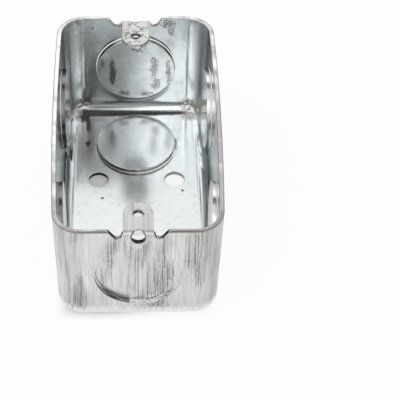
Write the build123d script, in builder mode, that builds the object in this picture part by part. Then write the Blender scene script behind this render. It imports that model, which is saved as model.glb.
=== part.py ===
from build123d import *
from math import atan, cos, degrees, sin, sqrt
import os

# Drawn steel handy box, open at the top, with its device ears and knockouts.
# Millimetres, +Z up. The origin is on the underside, at the middle of the floor.

# Drawn shell
sheet = 1.6                  # thickness of the steel sheet
length = 101.6               # outside of the rim, end wall to end wall
width = 54.0                 # outside of the rim, measured at the ends of the long walls
depth = 44.5                 # underside of the floor to the rim
side_bow = 1.1               # bulge of each long wall at its middle
wall_draft = 1.2             # lean of each wall, from the rim in to the floor
rim_corner_radius = 9.2      # outside radius of an upright corner at the rim
floor_bend_radius = 5.6      # outside radius where the walls turn into the floor
rim_break = 0.25             # chamfer of the two trimmed edges of the rim

# Device ears, bent in from the end walls
ear_width = 9.6
ear_drop = 1.2               # top of the ears below the rim
ear_bend_radius = 0.4        # inside radius of the bend
ear_flare = 1.1              # widening of the ear at its root, each side
ear_flare_height = 2.0
ear_foot_radius = 0.9        # rounding where the flare runs into the notch
screw_spacing = 83.3         # between the two device screws
screw_hole_diameter = 3.0    # tapping size of the device screw
screw_lead_in = 0.25         # chamfer at the top of the tapped hole
relief_hole_diameter = 4.4   # hole through the bend, which lets it fold
relief_hole_setback = 0.2    # from the start of the bend out to that hole

# Notches each side of an ear
notch_floor = 2.5            # width of the notch at its bottom
notch_mouth = 4.9            # width of the notch at the rim
notch_radius = 0.8           # rounding at the foot of its sloping flank
notch_below_bend = 0.3       # bottom of the notch below the start of the bend

# Knockouts
knockout_diameter = 28.2     # three-quarter inch trade size
knockout_push = 1.7          # how far the shear has moved a disc into the box
knockout_gap = 0.08          # shear gap round a disc
knockout_height = depth / 2  # centres in the walls, above the underside
knockout_side_offset = 27.2  # centres in the long walls, from the middle
knockout_floor_offset = 29.3 # centres in the floor, from the middle
tie_width = 5.2              # strip that still holds a disc
tie_reach = 0.9              # how far the tie runs into the wall and into the disc
tie_inset = 0.15             # tie surfaces below the sheet surfaces

# Mounting holes in the floor
mounting_hole_diameter = 7.0
mounting_spacing = 26.9
mounting_offset = 12.3       # the pair from the middle, towards the back end

# Worked out from the sizes above
draft_angle = atan(wall_draft / depth)
ear_top = depth - ear_drop
outer_ear_bend = ear_bend_radius + sheet
bend_level = ear_top - outer_ear_bend
notch_level = bend_level - notch_below_bend
ear_side = ear_width / 2
ear_tip = screw_spacing / 2 - ear_side
root_width = ear_width + 2 * ear_flare


def inset_at(level):
    """How far the outside of a wall stands in from the rim at a height."""
    return wall_draft * (depth - level) / depth


def drawn_form(inset):
    """Solid form of the drawn walls, one inset inside the outside of the shell."""
    half_width = width / 2 - inset
    half_length = length / 2 - inset
    with BuildPart() as form:
        with BuildSketch(Plane.XY.offset(inset)) as plan:
            with BuildLine():
                for side in (1, -1):
                    near_end = (side * half_width, -side * half_length)
                    far_end = (side * half_width, side * half_length)
                    ThreePointArc(near_end, (side * (half_width + side_bow), 0), far_end)
                    Line(far_end, (-side * half_width, side * half_length))
            make_face()
            fillet(plan.vertices(), rim_corner_radius - inset)
        extrude(amount=depth - inset)
        draft(form.faces().sort_by(Axis.Z)[1:-1], -Plane.XY.offset(depth), degrees(draft_angle))
        fillet(form.edges().group_by(Axis.Z)[0], floor_bend_radius - inset)
    return form.part


def end_wall_plane(end):
    """Plane on the outside of an end wall, at its knockout, facing out."""
    place = (0, end * (length / 2 - inset_at(knockout_height)), knockout_height)
    facing = (0, end * cos(draft_angle), -sin(draft_angle))
    return Plane(origin=place, x_dir=(end, 0, 0), z_dir=facing)


def side_wall_plane(side, along):
    """Plane on the outside of a long wall, at one of its knockouts, facing out."""
    bow_radius = ((length / 2)**2 + side_bow**2) / (2 * side_bow)
    bow_centre = width / 2 + side_bow - bow_radius
    level_radius = bow_radius - inset_at(knockout_height)
    across = sqrt(level_radius**2 - along**2)
    place = (side * (bow_centre + across), along, knockout_height)
    facing = (side * across, along, -level_radius * wall_draft / depth)
    return Plane(origin=place, x_dir=(0, -side, 0), z_dir=facing)


def knockout_opening(wall):
    """Round opening that a disc leaves in its wall."""
    with BuildPart() as opening:
        with BuildSketch(wall.offset(sheet)):
            Circle(knockout_diameter / 2)
        extrude(amount=-3 * sheet)
    return opening.part


def knockout_disc(wall, tie_direction):
    """Disc pushed into the box, with the tie that still holds it."""
    edge = knockout_diameter / 2
    tie_plane = Plane(origin=wall.origin, x_dir=tie_direction, z_dir=wall.z_dir.cross(tie_direction))
    with BuildPart() as disc:
        with BuildSketch(wall.offset(-knockout_push)):
            Circle(edge - knockout_gap)
        extrude(amount=-sheet)
        with BuildSketch(tie_plane):
            with BuildLine():
                Polyline(
                    (edge + tie_reach, tie_inset),
                    (edge - tie_reach, knockout_push + tie_inset),
                    (edge - tie_reach, knockout_push + sheet - tie_inset),
                    (edge + tie_reach, sheet - tie_inset),
                    close=True,
                )
            make_face()
        extrude(amount=tie_width / 2, both=True)
    return disc.part


# Where the end wall stands at the levels of the ear
wall_at_root = length / 2 - inset_at(notch_level)
wall_at_top = length / 2 - inset_at(ear_top)
wall_under_ear = length / 2 - inset_at(ear_top - sheet)

# One ear: its section is extruded, then trimmed to its outline from above and from the end
with BuildPart() as ear:
    with BuildSketch(Plane.YZ) as ear_section:
        with BuildLine():
            Polyline(
                (wall_at_root, notch_level),
                (wall_at_top, ear_top),
                (ear_tip, ear_top),
                (ear_tip, ear_top - sheet),
                (wall_under_ear - sheet, ear_top - sheet),
                (wall_at_root - sheet, notch_level),
                close=True,
            )
        make_face()
        outer_corner = (wall_at_top, ear_top)
        fillet(ear_section.vertices().sort_by_distance(outer_corner)[0], outer_ear_bend)
        inner_corner = (wall_under_ear - sheet, ear_top - sheet)
        fillet(ear_section.vertices().sort_by_distance(inner_corner)[0], ear_bend_radius)
    extrude(amount=root_width, both=True)
    with BuildSketch(Plane.XY.offset(notch_level)):
        with Locations((0, screw_spacing / 2)):
            Circle(ear_side)
            Rectangle(ear_width, length, align=(Align.CENTER, Align.MIN))
        with Locations((0, wall_at_root - outer_ear_bend)):
            Rectangle(2 * root_width, length, align=(Align.CENTER, Align.MIN))
    extrude(amount=depth, mode=Mode.INTERSECT)
    with BuildSketch(Plane.XZ) as ear_outline:
        with BuildLine():
            Polyline(
                (-root_width, notch_level - sheet),
                (root_width, notch_level - sheet),
                (root_width, notch_level),
                (root_width / 2, notch_level),
                (ear_side, notch_level + ear_flare_height),
                (ear_side, depth),
                (-ear_side, depth),
                (-ear_side, notch_level + ear_flare_height),
                (-root_width / 2, notch_level),
                (-root_width, notch_level),
                close=True,
            )
        make_face()
        fillet(ear_outline.vertices().group_by(Axis.Y)[1].sort_by(Axis.X)[1:3], ear_foot_radius)
    extrude(amount=-length, mode=Mode.INTERSECT)
    with Locations((0, screw_spacing / 2, ear_top)):
        CounterSinkHole(
            screw_hole_diameter / 2,
            counter_sink_radius=screw_hole_diameter / 2 + screw_lead_in,
            depth=2 * sheet,
            counter_sink_angle=90,
        )

# Outer face and tie direction of every knockout; in the walls a disc hangs on a tie at its foot
knockout_places = []
for end in (1, -1):
    end_wall = end_wall_plane(end)
    knockout_places.append((end_wall, end_wall.y_dir))
    for side in (1, -1):
        side_wall = side_wall_plane(side, end * knockout_side_offset)
        knockout_places.append((side_wall, side_wall.y_dir))
    floor = Plane(origin=(0, end * knockout_floor_offset, 0), x_dir=(1, 0, 0), z_dir=(0, 0, -1))
    knockout_places.append((floor, floor.x_dir))

with BuildPart() as box:
    add(drawn_form(0))
    add(drawn_form(sheet), mode=Mode.SUBTRACT)
    chamfer(box.faces().sort_by(Axis.Z)[-1].edges(), rim_break)

    # Openings in both end walls for the ears and their notches
    with BuildSketch(Plane.XZ) as ear_opening:
        with BuildLine():
            Polyline(
                (-ear_side - notch_mouth, depth + sheet),
                (-ear_side - notch_mouth, depth),
                (-ear_side - notch_floor, notch_level),
                (ear_side + notch_floor, notch_level),
                (ear_side + notch_mouth, depth),
                (ear_side + notch_mouth, depth + sheet),
                close=True,
            )
        make_face()
        fillet(ear_opening.vertices().group_by(Axis.Y)[0], notch_radius)
    extrude(amount=length, both=True, mode=Mode.SUBTRACT)

    add(ear.part)
    mirror(ear.part, about=Plane.XZ)

    # Relief hole of each ear, through its bend and the top of its wall
    for end in (1, -1):
        hole_start = (0, end * (wall_at_root - outer_ear_bend + relief_hole_setback), bend_level)
        with BuildSketch(Plane(origin=hole_start, x_dir=(-end, 0, 0), z_dir=(0, end, 0))):
            Circle(relief_hole_diameter / 2)
        extrude(amount=outer_ear_bend + sheet, mode=Mode.SUBTRACT)

    # Knockouts in the end walls, the long walls and the floor
    for wall, tie_direction in knockout_places:
        add(knockout_opening(wall), mode=Mode.SUBTRACT)
        add(knockout_disc(wall, tie_direction))

    # Mounting holes
    with Locations((0, mounting_offset, sheet)):
        with GridLocations(mounting_spacing, mounting_spacing, 2, 1):
            Hole(mounting_hole_diameter / 2, depth=2 * sheet)

box.part.label = "box"

os.makedirs("parts", exist_ok=True)
export_step(box.part, "parts/box.step")
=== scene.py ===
from collections import namedtuple
from math import copysign, cos, hypot, pi, radians

import bmesh
import bpy
from bpy.props import FloatProperty, FloatVectorProperty, PointerProperty
from bpy.types import Operator, Panel, PropertyGroup
from mathutils import Matrix, Vector, noise


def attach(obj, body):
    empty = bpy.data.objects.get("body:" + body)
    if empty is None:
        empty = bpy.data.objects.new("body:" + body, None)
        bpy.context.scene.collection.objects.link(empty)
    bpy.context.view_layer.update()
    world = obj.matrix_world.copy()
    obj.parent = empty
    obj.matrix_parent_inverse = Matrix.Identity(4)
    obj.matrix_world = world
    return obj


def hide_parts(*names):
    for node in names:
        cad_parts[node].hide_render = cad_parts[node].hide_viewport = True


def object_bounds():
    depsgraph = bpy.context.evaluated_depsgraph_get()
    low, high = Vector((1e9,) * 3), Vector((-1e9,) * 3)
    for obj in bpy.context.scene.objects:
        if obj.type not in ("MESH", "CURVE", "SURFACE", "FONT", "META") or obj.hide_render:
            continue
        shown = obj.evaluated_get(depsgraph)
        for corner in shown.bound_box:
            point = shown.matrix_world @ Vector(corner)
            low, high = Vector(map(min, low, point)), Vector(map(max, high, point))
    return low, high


bl_info = {
    "name": "Handy Box",
    "version": (1, 0, 0),
    "blender": (4, 5, 0),
    "location": "3D View > Sidebar > Handy Box",
    "description": "Dresses a drawn, zinc-plated handy box and sets up its studio",
    "category": "Object",
}

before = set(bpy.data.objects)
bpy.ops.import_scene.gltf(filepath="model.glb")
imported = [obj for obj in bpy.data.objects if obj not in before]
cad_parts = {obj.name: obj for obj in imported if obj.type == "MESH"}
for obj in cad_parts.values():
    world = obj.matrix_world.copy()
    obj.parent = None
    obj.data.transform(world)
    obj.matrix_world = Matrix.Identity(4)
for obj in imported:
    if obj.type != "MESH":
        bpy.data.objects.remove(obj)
cad_low, cad_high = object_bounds()
depth = cad_high.z


class HandyBoxForm(PropertyGroup):
    """Sizes of the drawn form and its ears, as in the part's source, and what counts as on it."""

    sheet: FloatProperty(
        name="Sheet",
        description="Thickness of the steel sheet",
        default=0.0016,
        unit="LENGTH",
        precision=4,
    )
    length: FloatProperty(
        name="Length",
        description="Outside of the rim, end wall to end wall",
        default=0.1016,
        unit="LENGTH",
    )
    width: FloatProperty(
        name="Width",
        description="Outside of the rim, measured at the ends of the long walls",
        default=0.0540,
        unit="LENGTH",
    )
    side_bow: FloatProperty(
        name="Side Bow",
        description="Bulge of each long wall at its middle",
        default=0.0011,
        unit="LENGTH",
        precision=4,
    )
    wall_draft: FloatProperty(
        name="Wall Draft",
        description="Lean of each wall, from the rim in to the floor",
        default=0.0012,
        unit="LENGTH",
        precision=4,
    )
    corner_radius: FloatProperty(
        name="Corner Radius",
        description="Outside radius of the upright corners at the rim",
        default=0.0092,
        unit="LENGTH",
    )
    floor_bend: FloatProperty(
        name="Floor Bend",
        description="Outside radius where the walls turn into the floor",
        default=0.0056,
        unit="LENGTH",
    )
    ear_root: FloatProperty(
        name="Ear Root",
        description="Width of an ear where it leaves its end wall",
        default=0.0118,
        unit="LENGTH",
    )
    ear_bend_level: FloatProperty(
        name="Ear Bend",
        description="Height at which an ear starts to bend in, where its relief hole is",
        default=0.0413,
        unit="LENGTH",
    )
    relief_hole: FloatProperty(
        name="Relief Hole",
        description="Diameter of the hole through the bend of an ear",
        default=0.0044,
        unit="LENGTH",
    )
    screw_spacing: FloatProperty(
        name="Screw Spacing",
        description="Distance between the two tapped holes in the ears",
        default=0.0833,
        unit="LENGTH",
    )
    screw_hole: FloatProperty(
        name="Screw Hole",
        description="Diameter of the tapped hole in an ear",
        default=0.0030,
        unit="LENGTH",
    )
    far_disc: FloatProperty(
        name="Far Disc",
        description="Inner face of the knockout in the far wall, from the middle of the box",
        default=0.0469,
        unit="LENGTH",
    )
    near_form: FloatProperty(
        name="Near Form",
        description="Corners this near to the drawn form lie on it",
        default=0.00005,
        unit="LENGTH",
        precision=6,
    )
    same_face_angle: FloatProperty(
        name="Same Face",
        description="Faces turned from the drawn form by less than this lie on it",
        default=radians(20),
        subtype="ANGLE",
    )


class HandyBoxShell(PropertyGroup):
    """Shape of the dressed shell."""

    merge_distance: FloatProperty(
        name="Merge Distance",
        description="Loose corners closer than this become one",
        default=0.00003,
        unit="LENGTH",
        precision=6,
    )
    flat_angle: FloatProperty(
        name="Flat Angle",
        description="Facets that meet at less than this become one face",
        default=radians(0.3),
        subtype="ANGLE",
    )
    smooth_angle: FloatProperty(
        name="Smooth Angle",
        description="Edges that turn by less than this are shaded round",
        default=radians(50),
        subtype="ANGLE",
    )
    edge_round: FloatProperty(
        name="Edge Round",
        description="Width of the rounding along the sheared edges",
        default=0.0002,
        unit="LENGTH",
        precision=5,
    )
    crimp_centre: FloatVectorProperty(
        name="Crimp Centre",
        description="Middle of the gathered sheet inside a floor corner",
        default=(0.0205, 0.0455, 0.0035),
        subtype="TRANSLATION",
        size=3,
    )
    crimp_reach: FloatProperty(
        name="Crimp Reach",
        description="How far the gathered sheet spreads from its middle",
        default=0.0065,
        unit="LENGTH",
    )
    crimp_height: FloatProperty(
        name="Crimp Height",
        description="Height of the folds of the gathered sheet",
        default=0.0006,
        unit="LENGTH",
        precision=5,
    )
    crimp_fold: FloatProperty(
        name="Crimp Fold",
        description="Distance from fold to fold",
        default=0.0022,
        unit="LENGTH",
        precision=5,
    )
    crimp_mesh: FloatProperty(
        name="Crimp Mesh",
        description="Side of the squares that the gathered sheet is cut into",
        default=0.0008,
        unit="LENGTH",
        precision=5,
    )


class HandyBoxFinish(PropertyGroup):
    """Zinc plate, inside and outside."""

    inside_colour: FloatVectorProperty(
        name="Inside",
        description="Plated sheet inside the box, which the punch left smooth",
        default=(0.735, 0.765, 0.77),
        subtype="COLOR",
        size=3,
        min=0,
        max=1,
    )
    clouded_colour: FloatVectorProperty(
        name="Clouds",
        description="Duller clouds in the plate inside the box",
        default=(0.54, 0.56, 0.57),
        subtype="COLOR",
        size=3,
        min=0,
        max=1,
    )
    smooth_colour: FloatVectorProperty(
        name="Foot",
        description="Plated sheet round the foot of the box, which the die has not rubbed",
        default=(0.78, 0.80, 0.805),
        subtype="COLOR",
        size=3,
        min=0,
        max=1,
    )
    outside_colour: FloatVectorProperty(
        name="Outside",
        description="Plated sheet outside the box, which the die has rubbed",
        default=(0.735, 0.73, 0.715),
        subtype="COLOR",
        size=3,
        min=0,
        max=1,
    )
    # Bare patches, and also the painted highlight on the pale ends inside the relief holes
    bare_patch_and_painted_highlight: FloatVectorProperty(
        name="Bare Patches",
        description="Brighter patches outside, between the draw marks",
        default=(0.86, 0.86, 0.85),
        subtype="COLOR",
        size=3,
        min=0,
        max=1,
    )
    streak_colour: FloatVectorProperty(
        name="Draw Marks",
        description="Dark marks that the die has drawn up the walls",
        default=(0.27, 0.245, 0.24),
        subtype="COLOR",
        size=3,
        min=0,
        max=1,
    )
    edge_colour: FloatVectorProperty(
        name="Cut Edge",
        description="Sheared edges of the sheet",
        default=(0.27, 0.26, 0.26),
        subtype="COLOR",
        size=3,
        min=0,
        max=1,
    )
    crimp_colour: FloatVectorProperty(
        name="Crimps",
        description="Yellowed plate on the gathered sheet in the floor corners",
        default=(0.56, 0.49, 0.39),
        subtype="COLOR",
        size=3,
        min=0,
        max=1,
    )
    # Dull stretches of the rim, and also the painted shade on the near right corner
    dull_rim_and_painted_shade: FloatVectorProperty(
        name="Dull Rim",
        description="Dull stretches of the trimmed rim",
        default=(0.44, 0.43, 0.43),
        subtype="COLOR",
        size=3,
        min=0,
        max=1,
    )
    # Bright stretches of the rim, which are partly painted highlight, and the painted highlights on cut
    # edges
    bright_rim_and_painted_highlight: FloatVectorProperty(
        name="Rim",
        description="Bright stretches of the trimmed rim",
        default=(0.88, 0.88, 0.88),
        subtype="COLOR",
        size=3,
        min=0,
        max=1,
    )
    # Dirt, and also painted shade round the relief holes, in the tapped holes, on cut edges on the left of
    # the floor and by the left wall's knockout
    dirt_and_painted_shade: FloatVectorProperty(
        name="Dark Marks",
        description="Brown-black dirt inside the box",
        default=(0.035, 0.024, 0.022),
        subtype="COLOR",
        size=3,
        min=0,
        max=1,
    )
    # Grey blotches, and also painted shade on the left of the far wall and a painted reflection on the left
    # of the floor
    grey_blotch_and_painted_shade: FloatVectorProperty(
        name="Grey Marks",
        description="Dull blotches inside the box",
        default=(0.20, 0.19, 0.19),
        subtype="COLOR",
        size=3,
        min=0,
        max=1,
    )
    thread_pitch: FloatProperty(
        name="Thread Pitch",
        description="Distance between the dark turns of a tapped hole",
        default=0.0008,
        unit="LENGTH",
        precision=5,
    )
    smooth_roughness: FloatProperty(
        name="Smooth Roughness",
        description="Roughness of the plate where the die has not rubbed it",
        default=0.13,
        subtype="FACTOR",
        min=0,
        max=1,
    )
    die_roughness: FloatProperty(
        name="Die Roughness",
        description="Roughness that the die has added outside",
        default=0.16,
        subtype="FACTOR",
        min=0,
        max=1,
    )
    stretch_roughness: FloatProperty(
        name="Stretch Roughness",
        description="Roughness that the stretching has added inside the upright corners",
        default=0.16,
        subtype="FACTOR",
        min=0,
        max=1,
    )


class HandyBoxStudio(PropertyGroup):
    """Floor, light and camera."""

    floor_size: FloatProperty(
        name="Floor Size",
        description="Side of the square floor",
        default=4.0,
        unit="LENGTH",
    )
    floor_colour: FloatVectorProperty(
        name="Floor",
        description="Pale studio floor",
        default=(0.93, 0.93, 0.93),
        subtype="COLOR",
        size=3,
        min=0,
        max=1,
    )
    lamp_place: FloatVectorProperty(
        name="Lamp",
        description="Where the lamp stands, beside the camera",
        default=(0.040, -0.404, 0.440),
        subtype="TRANSLATION",
        size=3,
    )
    lamp_size: FloatVectorProperty(
        name="Lamp Size",
        description="Width and height of the lamp's face",
        default=(0.062, 0.42),
        unit="LENGTH",
        size=2,
    )
    lamp_brightness: FloatProperty(
        name="Brightness",
        description="Brightness of the lamp's face, where 1 is white",
        default=2.1,
    )
    camera_place: FloatVectorProperty(
        name="Camera",
        description="Where the camera stands",
        default=(-0.00384, -0.40413, 0.44496),
        subtype="TRANSLATION",
        size=3,
    )
    camera_turn: FloatProperty(
        name="Turn",
        description="Turn of the camera from straight along the box, to the right",
        default=radians(3.67),
        subtype="ANGLE",
    )
    camera_dip: FloatProperty(
        name="Dip",
        description="How far the camera looks down",
        default=radians(47.45),
        subtype="ANGLE",
    )
    camera_roll: FloatProperty(
        name="Roll",
        description="Roll of the camera about its own axis",
        default=radians(2.26),
        subtype="ANGLE",
    )
    lens: FloatProperty(
        name="Lens",
        description="Focal length of the camera, in millimetres",
        default=153.9,
    )
    sensor: FloatProperty(
        name="Sensor",
        description="Width of the camera's sensor, in millimetres",
        default=36.0,
    )


class Shade:
    """One socket of a node tree. Sums with it add Math nodes."""

    def __init__(self, tree, socket=None):
        self.tree = tree
        self.socket = socket

    def node(self, kind, settings=None, inputs=None, output=0):
        made = self.tree.nodes.new(kind)
        for name, value in (settings or {}).items():
            setattr(made, name, value)
        for key, value in (inputs or {}).items():
            if isinstance(value, Shade):
                self.tree.links.new(value.socket, made.inputs[key])
            else:
                made.inputs[key].default_value = value
        return Shade(self.tree, made.outputs[output])

    def maths(self, operation, *values):
        return self.node("ShaderNodeMath", {"operation": operation}, dict(enumerate(values)))

    def __add__(self, other):
        return self.maths("ADD", self, other)

    def __sub__(self, other):
        return self.maths("SUBTRACT", self, other)

    def __rsub__(self, other):
        return self.maths("SUBTRACT", other, self)

    def __mul__(self, other):
        return self.maths("MULTIPLY", self, other)

    __radd__ = __add__
    __rmul__ = __mul__

    def __abs__(self):
        return self.maths("ABSOLUTE", self)

    def vector(self, operation, other=(0, 0, 0), output=0):
        return self.node("ShaderNodeVectorMath", {"operation": operation}, {0: self, 1: other}, output)

    def length(self):
        return self.vector("LENGTH", output=1)

    def joined(self, x=0.0, y=0.0, z=0.0):
        """Vector of three values."""
        return self.node("ShaderNodeCombineXYZ", inputs={0: x, 1: y, 2: z})

    def axis(self, name):
        return self.node("ShaderNodeSeparateXYZ", inputs={0: self}, output=name)

    def ramp(self, low, high):
        """0 at low, 1 at high and smooth between them."""
        return self.node(
            "ShaderNodeMapRange",
            {"interpolation_type": "SMOOTHSTEP"},
            {"Value": self, "From Min": low, "From Max": high},
        )

    def noise(self, scale, detail=2.0, roughness=0.5):
        return self.node(
            "ShaderNodeTexNoise",
            inputs={"Vector": self, "Scale": scale, "Detail": detail, "Roughness": roughness},
        )

    def blend(self, first, second):
        """Colour that goes from first to second as this value goes from 0 to 1."""
        first, second = (end if isinstance(end, Shade) else opaque(end) for end in (first, second))
        return self.node("ShaderNodeMix", {"data_type": "RGBA"}, {0: self, 6: first, 7: second}, output=2)

    def feed(self, socket):
        self.tree.links.new(self.socket, socket)


def opaque(colour):
    return (*colour, 1)


def spot(place, ragged, centre, reach, full=0.55):
    """1 round a centre and 0 past a reach along each axis, with a ragged outline."""
    across = place.vector("SUBTRACT", centre).vector("DIVIDE", reach).length()
    return (across + ragged).ramp(1.0, full)


def most(masks):
    """Greatest of several masks."""
    total = masks[0]
    for mask in masks[1:]:
        total = total.maths("MAXIMUM", total, mask)
    return total


def layers(colour, *coats):
    """Colour with coats laid over it in turn, each where its mask is 1."""
    for mask, coat in coats:
        colour = mask.blend(colour, coat)
    return colour


class Plate:
    """A shaded point of the plated sheet: where it lies and which way it faces."""

    def __init__(self, tree, form):
        self.start = Shade(tree)
        self.place = self.start.node("ShaderNodeTexCoord", output="Object")
        self.normal = self.start.node("ShaderNodeNewGeometry", output="Normal")
        self.x, self.y, self.height = (self.place.axis(name) for name in "XYZ")
        self.ragged = self.place.noise(900, detail=3, roughness=0.6) - 0.5

        # 1 at the far end and -1 at the near one, then masks of the near end and of the floor with its discs
        self.end = self.y.maths("SIGN", self.y)
        self.at_near_end = self.y.ramp(-0.040, -0.046)
        self.on_floor = self.height.ramp(0.0045, 0.0036)

        # The way out of the box leads straight away from a core that the walls and bends run round
        core = (
            cad_high.x - form.corner_radius,
            cad_high.y - form.corner_radius,
            depth - form.floor_bend,
        )
        from_top = self.place.vector("SUBTRACT", (0, 0, depth))
        past_core = from_top.vector("ABSOLUTE").vector("SUBTRACT", core).vector("MAXIMUM")
        past_core = past_core.vector("MULTIPLY", from_top.vector("SIGN"))
        self.outwards = past_core.vector("NORMALIZE")
        self.corner = abs(self.outwards.axis("X")) * abs(self.outwards.axis("Y")) * 2.0

        # With every point at one distance from the core, patterns run on over discs and corners
        radius = (form.corner_radius,) * 3
        out = self.outwards.vector("MULTIPLY", radius)
        self.evened = self.place.vector("SUBTRACT", past_core).vector("ADD", out)

        # The outside of an ear looks up as well as out
        ear_side, level = form.ear_root / 2, form.ear_bend_level
        self.ear = abs(self.x).ramp(ear_side + 0.0009, ear_side + 0.0003)
        self.ear = self.ear * self.height.ramp(level - 0.0005, level - 0.0001)
        ear_outwards = self.start.joined(y=self.end * self.ear, z=self.ear)

        # 1 outside, -1 inside and 0 on a cut edge
        ways_out = self.outwards.vector("ADD", ear_outwards)
        self.facing = self.normal.vector("DOT_PRODUCT", ways_out, output=1)
        self.outside = self.facing.ramp(0.35, 0.7)
        self.inside = 1.0 - self.outside
        self.cut = abs(self.facing).ramp(0.7, 0.4)


def die_marks(plate):
    """What the die leaves outside: rubbed walls above the foot, fine grain, bare patches and streaks."""
    x, height = plate.x, plate.height
    ear_root = plate.start.joined(y=plate.end * cad_high.y)
    from_root = plate.evened.vector("SUBTRACT", ear_root)
    along_ear = 1.0 - plate.ear * 0.95

    def drawn(stretch, scale, detail):
        """Noise that is drawn out up the walls and along the ears."""
        grain = plate.start.joined(1.0, along_ear, stretch)
        return from_root.vector("MULTIPLY", grain).vector("ADD", ear_root).noise(scale, detail, 0.6)

    fine = drawn(0.028, 2000, 1.5)
    broad = drawn(0.2, 150, 3)
    above_foot = (height + plate.ragged * 0.0035 - fine * 0.0070).ramp(0.0012, 0.0036)
    bare = plate.evened.vector("MULTIPLY", (1, 1, 0.15)).noise(330).ramp(0.52, 0.68)

    # Streaks come in clusters, fewer at the corners and by the ears, with a seam down the near wall
    tone = broad.ramp(0.37, 0.60)
    lines = fine.ramp(0.47, 0.60)
    specks = plate.evened.vector("MULTIPLY", (1, 1, 0.25)).noise(2600).ramp(0.50, 0.66)
    lower = height.ramp(0.018, 0.008)
    worn = lines * (0.16 + tone * 0.50) + specks * (0.06 + tone * 0.34)
    clusters = lower * 0.14 + tone * 0.28 + worn * (1.0 - plate.corner * 0.6)
    seam = abs(x).ramp(0.00035, 0.00015) * plate.y.ramp(0.0, -0.04)
    seam = seam * height.ramp(0.036, 0.034) * height.ramp(0.008, 0.010)
    clear = abs(x).ramp(0.0100, 0.0050) * height.ramp(0.0350, 0.0430)
    streaks = most([clusters, seam * 0.6]) * plate.outside * above_foot * (1.0 - clear * 0.5)
    return above_foot, fine, bare, streaks


def ear_holes(plate, form, thread_pitch):
    """Painted shade in the dark turns of the tapped holes and in a dark ring round the relief holes, and a
    painted highlight on the pale end inside them.
    """
    x, height, from_middle = plate.x, plate.height, abs(plate.y)
    bore = form.screw_hole / 2
    relief = form.relief_hole / 2

    from_screw = plate.start.joined(x, from_middle - form.screw_spacing / 2).length()
    # The dark turns of the thread are painted shade
    turns = height * (2 * pi / thread_pitch)
    thread = turns.maths("SINE", turns).ramp(-0.4, 0.6)
    tapped = plate.ear * from_screw.ramp(bore + 0.0003, bore + 0.00015) * (0.35 + thread * 0.65)

    # The relief hole is measured up the slope of the bend, along which it is a little oval
    bend_middle = 0.0498
    bend_rise, bend_run = 0.68, 0.73
    oval = 1.06
    up_bend = (height - form.ear_bend_level) * bend_rise - (from_middle - bend_middle) * bend_run
    from_relief = plate.start.joined(x, up_bend * oval).length()
    # Painted shade in a ring round the relief hole, and a painted highlight on the pale end inside it
    ring = from_relief.ramp(relief + 0.00035, relief + 0.00020) * from_middle.ramp(0.0478, 0.0482)
    painted_highlight_hole_end = abs(plate.normal.axis("Y")).ramp(0.90, 0.97) * abs(x).ramp(relief + 0.0002, relief)
    painted_highlight_hole_end = painted_highlight_hole_end * height.ramp(0.0412, 0.0415) * from_middle.ramp(0.0493, 0.0491)
    return tapped, ring, painted_highlight_hole_end


def cut_edge_colour(plate, finish):
    """Sheared edges, with painted shade on the left of the floor and painted highlights low on the near end,
    on the right and at the floor knockout's tie.
    """
    # Painted highlights on edges low on the near end, on the right and at the floor knockout's tie
    painted_highlight_floor_tie = spot(plate.place, 0.0, (0.0141, 0.0293, 0.0020), (0.0030, 0.0045, 0.0030), 0.8)
    painted_highlight_edges = most([
        plate.at_near_end * plate.x.ramp(-0.0032, -0.0026) * plate.height.ramp(0.030, 0.024),
        plate.x.ramp(0.020, 0.023),
        painted_highlight_floor_tie,
    ])
    # Painted shade on the edges on the left of the floor
    painted_shade_left_edges = plate.on_floor * plate.x.ramp(0.002, -0.004)
    return layers(finish.edge_colour, (painted_highlight_edges, finish.bright_rim_and_painted_highlight), (painted_shade_left_edges * 0.9, finish.dirt_and_painted_shade))


# Centre and reach along each axis, raggedness of the outline, and the share of the reach that is full
Mark = namedtuple("Mark", "centre reach ragged full", defaults=(0.0, 0.55))


def marked(plate, marks):
    """Greatest of several marks inside the box, which are listed by name."""
    return plate.inside * most([
        spot(plate.place, plate.ragged * mark.ragged, mark.centre, mark.reach, mark.full)
        for mark in marks.values()
    ])


def dark_marks(plate, form):
    """Brown-black dirt and scorch marks inside the box, and painted shade by the near edge of the left
    wall's knockout.
    """
    floor, disc = form.sheet, form.far_disc
    wall = disc + form.sheet
    dot = (0.0006, 0.0006, 0.0010)
    marks = marked(plate, {
        "corner": Mark((-0.0186, 0.0434, floor + 0.0002), (0.0026, 0.0030, 0.0026), 1.2, 0.45),
        "run_from_corner": Mark((-0.0172, 0.0396, floor), (0.0014, 0.0044, 0.0026), 1.2, 0.45),
        "drop": Mark((-0.0173, 0.0302, floor), (0.0010, 0.0020, 0.0020), 2.0),
        "left_dot": Mark((-0.0121, 0.0033, floor), dot),
        "right_dot": Mark((0.0162, 0.0067, floor), dot),
        "disc_streak": Mark((-0.0084, disc, 0.0205), (0.0018, 0.0030, 0.0085), 1.8, 0.40),
        "nick_by_rim": Mark((-0.0152, wall, 0.0404), (0.0004, 0.0020, 0.0006), 1.0),
        # Painted shade by the near edge of the left wall's knockout
        "painted_shade_left_knockout": Mark((-0.0252, 0.0131, 0.0212), (0.0022, 0.0012, 0.0036), 0.6),
    })

    # A line under the far bend, which gets thinner to the right
    thinner = plate.ragged * 0.6 + plate.x * 16.0
    line = spot(plate.place, thinner, (0, 0.0453, 0.0020), (1, 0.0016, 0.0012), 0.45)
    line = line * plate.x.ramp(-0.0215, -0.0185) * plate.x.ramp(0.0200, 0.0160)
    return most([marks, plate.inside * line])


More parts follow.
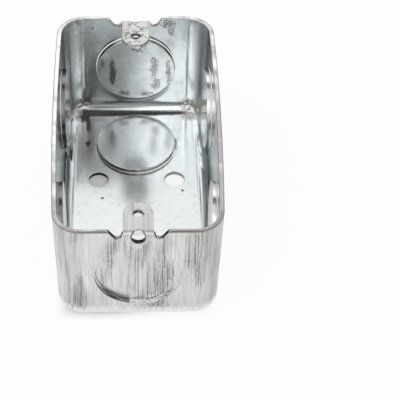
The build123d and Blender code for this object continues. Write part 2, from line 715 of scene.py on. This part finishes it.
def grey_marks(plate, form):
    """Mottled grey blotches on the far wall and on its disc."""
    disc = form.far_disc
    wall = disc + form.sheet

    def upright(face, x, height, half_width, half_height):
        """Mark on a face that stands across the box."""
        return Mark((x, face, height), (half_width, 0.0030, half_height), 2.0)

    mottle = plate.place.noise(1900).ramp(0.34, 0.56)
    return mottle * marked(plate, {
        "right_streak": upright(disc, 0.0066, 0.0235, 0.0017, 0.0066),
        "right_streak_end": upright(disc, 0.0074, 0.0155, 0.0020, 0.0036),
        "far_right_streak": upright(disc, 0.0118, 0.0215, 0.0011, 0.0068),
        "left_streak": upright(disc, -0.0118, 0.0256, 0.0008, 0.0024),
        "low_right": upright(disc, 0.0043, 0.0106, 0.0032, 0.0016),
        "low_left": upright(disc, -0.0044, 0.0111, 0.0028, 0.0016),
        "top": upright(disc, 0.0007, 0.0330, 0.0036, 0.0030),
        "by_rim": upright(wall, 0.0117, 0.0420, 0.0032, 0.0024),
        "below_rim": upright(wall, 0.0126, 0.0393, 0.0015, 0.0028),
    })


def painted_shade_reflection_and_scuffs(plate, form):
    """Painted shade on the left of the far wall, a painted reflection on the left of the floor, and scuffs
    on the far ear.
    """
    # Painted shade on the upper left of the far wall
    wall = {"painted_shade_upper_left": Mark((-0.0225, 0.0490, 0.0330), (0.0110, 0.0060, 0.0220), 1.0, 0.2)}
    # Painted reflection, darker on the left of the floor
    floor = {"painted_reflection_left_strip": Mark((-0.0182, 0.0320, form.sheet), (0.0050, 0.0210, 0.0024), 0.5, 0.15)}
    scuffed = plate.ear * plate.end.ramp(0.0, 1.0) * plate.place.noise(800).ramp(0.50, 0.62)
    return most([marked(plate, wall) * 0.55, marked(plate, floor) * 0.80, scuffed * 0.75])


def zinc_plated_steel(finish, form, crimp_centre):
    """Bright zinc over drawn sheet: smooth inside, rubbed by the die outside."""
    material = bpy.data.materials.new("zinc_plated_steel")
    material.use_nodes = True
    shader = material.node_tree.nodes["Principled BSDF"]
    plate = Plate(material.node_tree, form)
    place, inside, outside = plate.place, plate.inside, plate.outside

    # Colour, from the bare sheet up
    above_foot, fine, bare, streaks = die_marks(plate)
    # Painted shade on the near right upright corner outside
    painted_shade_near_right_corner = plate.at_near_end * plate.corner * plate.x.ramp(0.016, 0.024)
    rubbed = layers(
        finish.outside_colour,
        (bare * (0.8 - plate.ear * 0.6), finish.bare_patch_and_painted_highlight),
        (painted_shade_near_right_corner * 0.5, finish.dull_rim_and_painted_shade),
    )
    clouds = place.noise(420, detail=4, roughness=0.7).ramp(0.48, 0.72)
    gathered = inside * spot(
        place.vector("ABSOLUTE"), plate.ragged, crimp_centre, (0.0052, 0.0052, 0.0048)
    )
    smooth = layers(
        finish.inside_colour,
        (clouds * 0.45, finish.clouded_colour),
        (gathered * 0.35, finish.crimp_colour),
    )
    # The rim goes from dull to bright in random stretches, and is brighter towards the far left, which is
    # painted highlight
    rim = plate.height.ramp(depth - 0.0005, depth - 0.0003)
    rim_tone = (place.noise(160) + plate.y * 3.2 - plate.x * 4.0).ramp(0.32, 0.70)
    burr = rim * plate.facing.ramp(0.25, 0.55)
    tapped, ring, painted_highlight_hole_end = ear_holes(plate, form, finish.thread_pitch)
    # Dirt, and painted shade by the left wall's knockout
    dark = dark_marks(plate, form)
    # Grey blotches, with painted shade on the left of the far wall, a painted reflection on the left of the
    # floor, and scuffs
    grey = most([grey_marks(plate, form) * 0.9, painted_shade_reflection_and_scuffs(plate, form)])
    colour = layers(
        outside.blend(smooth, above_foot.blend(finish.smooth_colour, rubbed)),
        (streaks, finish.streak_colour),
        # Cut edges, with painted highlights and painted shade
        (plate.cut, cut_edge_colour(plate, finish)),
        (rim * plate.cut, rim_tone.blend(finish.dull_rim_and_painted_shade, finish.bright_rim_and_painted_highlight)),
        (burr, finish.streak_colour),
        # Painted shade round the relief holes and in the tapped holes, and a painted highlight inside the
        # relief holes
        (ring * 0.75, finish.dirt_and_painted_shade),
        (painted_highlight_hole_end, finish.bare_patch_and_painted_highlight),
        (tapped * 0.9, finish.dirt_and_painted_shade),
        (grey, finish.grey_blotch_and_painted_shade),
        (dark * 0.93, finish.dirt_and_painted_shade),
    )
    colour.feed(shader.inputs["Base Color"])

    # Gloss
    stretched = plate.corner * finish.stretch_roughness + plate.on_floor * 0.015
    roughness = finish.smooth_roughness + place.noise(140, detail=3) * 0.06
    roughness = roughness + inside * stretched + outside * finish.die_roughness
    roughness = roughness + streaks * 0.10 + plate.cut * 0.04 + dark * 0.2 + gathered * 0.1
    roughness.feed(shader.inputs["Roughness"])
    (1.0 - dark * 0.8).feed(shader.inputs["Metallic"])

    # The end walls bulge in a little, the plate is wavy, and outside it has the grain of the die
    end_wall = inside * abs(plate.outwards.axis("Y"))
    bulge = 64.0
    across = plate.x * bulge
    waves = place.noise(70, detail=1)
    relief = waves * 0.35 + outside * above_foot * fine * 0.06 - across * across * end_wall
    bump = plate.start.node(
        "ShaderNodeBump",
        inputs={"Strength": 0.35, "Distance": 0.0006, "Height": relief},
    )
    bump.feed(shader.inputs["Normal"])
    return material


def round_cut_edges(model, settings):
    """Rounds every sheared edge that runs on without a branch."""
    bmesh.ops.dissolve_limit(model, angle_limit=settings.flat_angle, verts=model.verts, edges=model.edges)
    sharp = {edge for edge in model.edges if edge.calc_face_angle(0) > settings.smooth_angle}
    plain = {vert for vert in model.verts if len(sharp.intersection(vert.link_edges)) == 2}
    running = [edge for edge in model.edges if edge in sharp and plain.issuperset(edge.verts)]
    bmesh.ops.bevel(
        model,
        geom=running,
        offset=settings.edge_round,
        offset_type="OFFSET",
        segments=2,
        profile=0.5,
        affect="EDGES",
        material=-1,
    )
    bmesh.ops.triangulate(model, faces=model.faces)


def crimp_corners(model, settings):
    """Gathers the sheet inside the four floor corners into small folds."""
    centre = Vector(settings.crimp_centre)
    reach = settings.crimp_reach
    least_slant = 0.3

    def distance(place):
        """Distance from the middle of the nearest crimp."""
        return (Vector((abs(place.x), abs(place.y), place.z)) - centre).length

    def faces_in(place, normal):
        """Whether a surface faces the inside of the box, seen from its nearest corner."""
        return normal.dot((-copysign(1, place.x), -copysign(1, place.y), 1)) > least_slant

    # Cut the surfaces round the crimps into small squares. Dictionaries keep the order of the mesh.
    near = [vert for vert in model.verts if distance(vert.co) < reach and faces_in(vert.co, vert.normal)]
    faces = dict.fromkeys(
        face for vert in near for face in vert.link_faces if faces_in(vert.co, face.normal)
    )
    edges = dict.fromkeys(edge for face in faces for edge in face.edges)
    verts = dict.fromkeys(vert for face in faces for vert in face.verts)
    pieces = [*faces, *edges, *verts]
    count = int(reach / settings.crimp_mesh)
    for axis, sides in enumerate(((-1, 1), (-1, 1), (1,))):
        across = Vector()
        across[axis] = 1
        for side in sides:
            for step in range(-count, count + 1):
                cut = across * (side * (centre[axis] + step * settings.crimp_mesh))
                done = bmesh.ops.bisect_plane(
                    model, geom=pieces, dist=settings.merge_distance, plane_co=cut, plane_no=across
                )
                pieces = done["geom"]

    # Lift the squares into folds
    model.normal_update()
    moves = {}
    for vert in model.verts:
        fade = 1 - distance(vert.co) / reach
        if fade > 0 and faces_in(vert.co, vert.normal):
            nearest, next_nearest = noise.voronoi(vert.co / settings.crimp_fold)[0][:2]
            ridge = min(1, next_nearest - nearest)
            moves[vert] = vert.normal * (settings.crimp_height * min(1, 2 * fade) * ridge)
    for vert, move in moves.items():
        vert.co += move
    folded = dict.fromkeys(face for vert in moves for face in vert.link_faces)
    bmesh.ops.triangulate(model, faces=list(folded))


def rounded(first, second, radius):
    """Distance from the rounded edge of two faces, worked out from the distances to both."""
    past = first + radius, second + radius
    return hypot(max(past[0], 0), max(past[1], 0)) + min(max(past), 0) - radius


def drawn_distance(place, form):
    """Distance of a point from the outside of the drawn form, below 0 within it."""
    half_length = form.length / 2
    bow_radius = (half_length**2 + form.side_bow**2) / (2 * form.side_bow)
    bow_centre = form.width / 2 + form.side_bow - bow_radius
    side = hypot(abs(place.x) - bow_centre, place.y) - bow_radius
    end = abs(place.y) - half_length
    wall = rounded(side, end, form.corner_radius) + form.wall_draft * (1 - place.z / depth)
    return rounded(wall, -place.z, form.floor_bend)


def drawn_normal(place, form):
    """Direction straight out of the drawn form at a point."""
    slope = Vector()
    for axis in range(3):
        step = Vector()
        step[axis] = form.near_form
        slope[axis] = drawn_distance(place + step, form) - drawn_distance(place - step, form)
    return slope.normalized()


def smooth_drawn_faces(shell, form):
    """Gives the corners on the drawn form the form's own normals, so that it shades without facets."""
    normals = shell.modifiers.new("flat_walls", "WEIGHTED_NORMAL")
    normals.keep_sharp = True
    weighted = shell.evaluated_get(bpy.context.evaluated_depsgraph_get()).data
    directions = [Vector(corner.vector) for corner in weighted.corner_normals]
    shell.modifiers.remove(normals)
    on_form = {}
    for vert in shell.data.vertices:
        distance = drawn_distance(vert.co, form)
        if abs(distance) < form.near_form:
            on_form[vert.index] = drawn_normal(vert.co, form)
        elif abs(distance + form.sheet) < form.near_form:
            on_form[vert.index] = -drawn_normal(vert.co, form)
    for face in shell.data.polygons:
        for corner, vert in zip(face.loop_indices, face.vertices):
            if vert in on_form and face.normal.angle(on_form[vert], pi) < form.same_face_angle:
                directions[corner] = on_form[vert]
    shell.data.normals_split_custom_set(directions)


class HANDYBOX_OT_shell(Operator):
    """Dresses the drawn shell with its ears and knockouts"""

    bl_idname = "handybox.shell"
    bl_label = "Drawn Shell"

    def execute(self, context):
        scene = context.scene
        settings, form = scene.handy_box_shell, scene.handy_box_form
        mesh = bpy.data.meshes.new("drawn_shell")
        model = bmesh.new()
        model.from_mesh(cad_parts["box"].data)
        bmesh.ops.remove_doubles(model, verts=model.verts, dist=settings.merge_distance)
        round_cut_edges(model, settings)
        crimp_corners(model, settings)
        for face in model.faces:
            face.smooth = True
        for edge in model.edges:
            edge.smooth = edge.calc_face_angle(0) < settings.smooth_angle
        model.to_mesh(mesh)
        model.free()
        shell = bpy.data.objects.new("drawn_shell", mesh)
        scene.collection.objects.link(shell)
        mesh.materials.append(zinc_plated_steel(scene.handy_box_finish, form, settings.crimp_centre))
        smooth_drawn_faces(shell, form)
        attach(shell, "root")
        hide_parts("box")
        return {"FINISHED"}


def studio_floor(studio):
    """Pale floor that keeps the shadow of the box."""
    model = bmesh.new()
    bmesh.ops.create_grid(model, x_segments=1, y_segments=1, size=studio.floor_size / 2)
    mesh = bpy.data.meshes.new("studio_floor")
    model.to_mesh(mesh)
    model.free()
    material = bpy.data.materials.new("pale_floor")
    material.use_nodes = True
    tree = material.node_tree
    tree.nodes.clear()
    start = Shade(tree)
    rays = ("Camera", "Glossy", "Transmission")
    seen = sum(start.node("ShaderNodeLightPath", output=f"Is {ray} Ray") for ray in rays)
    lit = start.node("ShaderNodeBsdfDiffuse", inputs={"Color": opaque(studio.floor_colour)})
    white = start.node("ShaderNodeEmission", inputs={"Color": (1, 1, 1, 1), "Strength": 1.0})

    # Under the box it shows more of the shadow, and most of it on the left
    place = start.node("ShaderNodeTexCoord", output="Object")
    under = abs(place.axis("X")).ramp(cad_high.x, 0.8 * cad_high.x)
    under = under * abs(place.axis("Y")).ramp(cad_high.y, 0.9 * cad_high.y)
    left = place.axis("X").ramp(0.010, -0.010)
    white_share = 0.93 - under * (0.10 + left * 0.75)
    mixed = start.node("ShaderNodeMixShader", inputs={0: seen * white_share, 1: lit, 2: white})
    surface = tree.nodes.new("ShaderNodeOutputMaterial")
    mixed.feed(surface.inputs["Surface"])
    mesh.materials.append(material)
    return bpy.data.objects.new("studio_floor", mesh)


def softbox(name, place, target, size, brightness):
    """Area lamp of even brightness that faces a point."""
    lamp = bpy.data.lights.new(name, "AREA")
    lamp.shape = "RECTANGLE"
    lamp.size, lamp.size_y = size
    lamp.energy = brightness * pi * size[0] * size[1]
    holder = bpy.data.objects.new(name, lamp)
    holder.location = place
    holder.rotation_mode = "QUATERNION"
    holder.rotation_quaternion = (Vector(target) - Vector(place)).to_track_quat("-Z", "Y")
    return holder


def studio_sky(scene):
    """Soft grey light all round, with brighter and darker patches for the plate to mirror."""
    world = bpy.data.worlds.new("studio_sky")
    world.use_nodes = True
    tree = world.node_tree
    direction = Shade(tree).node("ShaderNodeTexCoord", output="Generated")

    def patch(towards, inner, outer):
        """1 within the inner angle of a direction and 0 past the outer one."""
        along = direction.vector("DOT_PRODUCT", Vector(towards).normalized(), output=1)
        return along.ramp(cos(radians(outer)), cos(radians(inner)))

    def grey(level):
        return (level, level, level)

    side, height = direction.axis("X"), direction.axis("Z")
    front = direction.axis("Y").ramp(-0.35, -0.5) * height.ramp(0.28, 0.40) * height.ramp(0.92, 0.86)
    left_of_camera = front * side.ramp(-0.12, -0.18)
    round_camera = front * side.ramp(-0.17, -0.12) * side.ramp(0.12, 0.08)
    right_of_camera = front * side.ramp(0.06, 0.14)
    far_right = front * side.ramp(0.26, 0.34)
    far_left = patch((-0.64, -0.14, 0.75), 9, 20)
    low_left = patch((-0.73, -0.68, 0.05), 14, 32)
    low_right = patch((0.73, -0.68, 0.05), 14, 32)
    back = patch((0, 0.68, 0.73), 8, 24)
    high_back = patch((0, 0.36, 0.93), 8, 15)
    screen = height.ramp(0.66, 0.73).blend(grey(0.05), grey(0.34))
    colour = layers(
        grey(0.76),
        (back, grey(1.20)),
        (right_of_camera, grey(0.55)),
        (far_right, grey(1.50)),
        (left_of_camera, grey(1.90)),
        (far_left, grey(1.80)),
        (round_camera, screen),
        (low_right, (0.10, 0.09, 0.09)),
        (low_left, grey(1.10)),
        (high_back, (0.12, 0.10, 0.10)),
    )
    colour.feed(tree.nodes["Background"].inputs["Color"])
    scene.world = world


class HANDYBOX_OT_studio(Operator):
    """Sets up the floor, the light and the camera"""

    bl_idname = "handybox.studio"
    bl_label = "Studio"

    def execute(self, context):
        scene = context.scene
        studio = scene.handy_box_studio
        floor = studio_floor(studio)
        scene.collection.objects.link(floor)
        studio_sky(scene)
        centre = (0, 0, depth / 2)
        lamp = softbox(
            "camera_softbox", studio.lamp_place, centre, studio.lamp_size, studio.lamp_brightness
        )
        scene.collection.objects.link(lamp)
        view = bpy.data.cameras.new("photo_camera")
        view.lens = studio.lens
        view.sensor_width = studio.sensor
        camera = bpy.data.objects.new("photo_camera", view)
        camera.matrix_world = (
            Matrix.Translation(studio.camera_place)
            @ Matrix.Rotation(-studio.camera_turn, 4, "Z")
            @ Matrix.Rotation(radians(90) - studio.camera_dip, 4, "X")
            @ Matrix.Rotation(studio.camera_roll, 4, "Z")
        )
        scene.collection.objects.link(camera)
        scene.camera = camera
        scene.view_settings.view_transform = "Standard"
        return {"FINISHED"}


class HANDYBOX_PT_panel(Panel):
    """Lists the steps that make the box"""

    bl_idname = "HANDYBOX_PT_panel"
    bl_label = "Handy Box"
    bl_space_type = "VIEW_3D"
    bl_region_type = "UI"
    bl_category = "Handy Box"

    def draw(self, context):
        for step in (HANDYBOX_OT_shell, HANDYBOX_OT_studio):
            self.layout.operator(step.bl_idname)


groups = {
    "handy_box_form": HandyBoxForm,
    "handy_box_shell": HandyBoxShell,
    "handy_box_finish": HandyBoxFinish,
    "handy_box_studio": HandyBoxStudio,
}
classes = (*groups.values(), HANDYBOX_OT_shell, HANDYBOX_OT_studio, HANDYBOX_PT_panel)


def register():
    for cls in classes:
        bpy.utils.register_class(cls)
    for name, group in groups.items():
        setattr(bpy.types.Scene, name, PointerProperty(type=group))


def unregister():
    for name in groups:
        delattr(bpy.types.Scene, name)
    for cls in reversed(classes):
        bpy.utils.unregister_class(cls)


def main():
    register()
    bpy.ops.handybox.shell()
    bpy.ops.handybox.studio()


if __name__ == "__main__":
    main()
